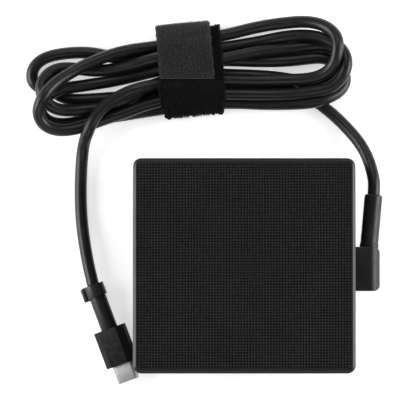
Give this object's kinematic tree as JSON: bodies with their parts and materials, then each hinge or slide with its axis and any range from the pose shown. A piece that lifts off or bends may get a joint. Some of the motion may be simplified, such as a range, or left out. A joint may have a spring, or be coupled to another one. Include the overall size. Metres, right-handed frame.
{
  "type": "usb wall charger",
  "caption": "Flat square power brick with folding wall blades in its back and a captive cord, wound into a hank under a hook-and-loop strap, that ends in a reversible data and power plug.",
  "frame": {"origin": "centre of the brick's rear face, which lies on the surface", "axes": "+Z out of the front face, +Y towards the hank of cord, +X towards the side that the cord leaves"},
  "size_m": [0.1311, 0.1349, 0.028],
  "materials": {
    "shell_black": "fine satin texture",
    "rear_black": "fine spark-eroded matt",
    "label_grey": "blank satin film",
    "rotor_black": "smooth moulded",
    "blade_nickel": "nickel-plated brass",
    "steel": "bright steel",
    "spring_brass": "phosphor bronze",
    "board_green": "solder mask",
    "chip_black": "moulded package",
    "ferrite": "matt ferrite",
    "bobbin_phenolic": "moulded",
    "winding_tape": "polyester tape",
    "copper": "enamelled copper wire",
    "can_sleeve": "shrink sleeve",
    "can_aluminium": "drawn can",
    "film_yellow": "moulded box",
    "disc_blue": "epoxy dip",
    "fuse_ceramic": "ceramic tube",
    "sink_aluminium": "punched sheet",
    "pad_grey": "silicone",
    "insulation_film": "polyester film",
    "wire_red": "pvc sleeve",
    "gland_rubber": "satin moulded rubber",
    "cord_black": "satin pvc jacket",
    "strap_hook": "hook-and-loop tape",
    "clip_grey": "smooth moulded",
    "plug_black": "fine satin",
    "shell_nickel": "satin nickel plate",
    "contact_gold": "gold plate"
  },
  "bodies": {
    "brick": {"front_cover": "shell_black", "rear_cover": "rear_black", "rating_label": "label_grey", "rotor_axle": "steel", "rotor_bracket": "chip_black", "bracket_screws": "steel", "detent_spring": "steel", "contact_springs": "spring_brass", "main_board": "board_green", "board_screws": "steel", "pd_board": "board_green", "pd_controller": "chip_black", "transformer_core": "ferrite", "transformer_bobbin": "bobbin_phenolic", "transformer_winding": "winding_tape", "bulk_capacitors": "can_sleeve", "output_capacitors": "can_aluminium", "x_capacitor": "film_yellow", "y_capacitor": "disc_blue", "choke_core": "ferrite", "choke_winding": "copper", "filter_coil_core": "ferrite", "filter_coil_winding": "copper", "fuse": "fuse_ceramic", "varistor": "disc_blue", "bridge_rectifier": "chip_black", "primary_heat_sink": "sink_aluminium", "power_transistor": "chip_black", "secondary_heat_sink": "sink_aluminium", "sync_rectifier": "chip_black", "opto_coupler": "chip_black", "thermal_pad": "pad_grey", "upper_heat_spreader": "sink_aluminium", "insulation_sheet": "insulation_film", "output_wires": "wire_red", "cord_gland": "gland_rubber", "cord_strain_relief": "gland_rubber", "output_cord": "cord_black", "cord_hank": "cord_black", "hook_loop_strap": "strap_hook", "plug_cord": "cord_black", "plug_strain_relief": "gland_rubber", "plug_body": "plug_black", "plug_board": "board_green", "cable_crimp": "steel", "usb_shell": "shell_nickel", "usb_insert": "chip_black", "usb_contacts": "contact_gold"},
    "blades": {"prong_rotor": "rotor_black", "blade_left": "blade_nickel", "blade_right": "blade_nickel"},
    "clip": {"cable_clip": "clip_grey"}
  },
  "joints": [
    {"name": "prong_fold", "type": "hinge", "parent": "brick", "child": "blades", "pos_m": [0, 0.013, 0.0052], "axis": [1, 0, 0], "range_deg": [0, 90]},
    {"name": "clip_slide", "type": "slide", "parent": "brick", "child": "clip", "axis": [0.3518, -0.9361, 0], "range_m": [0, 0.011]}
  ]
}
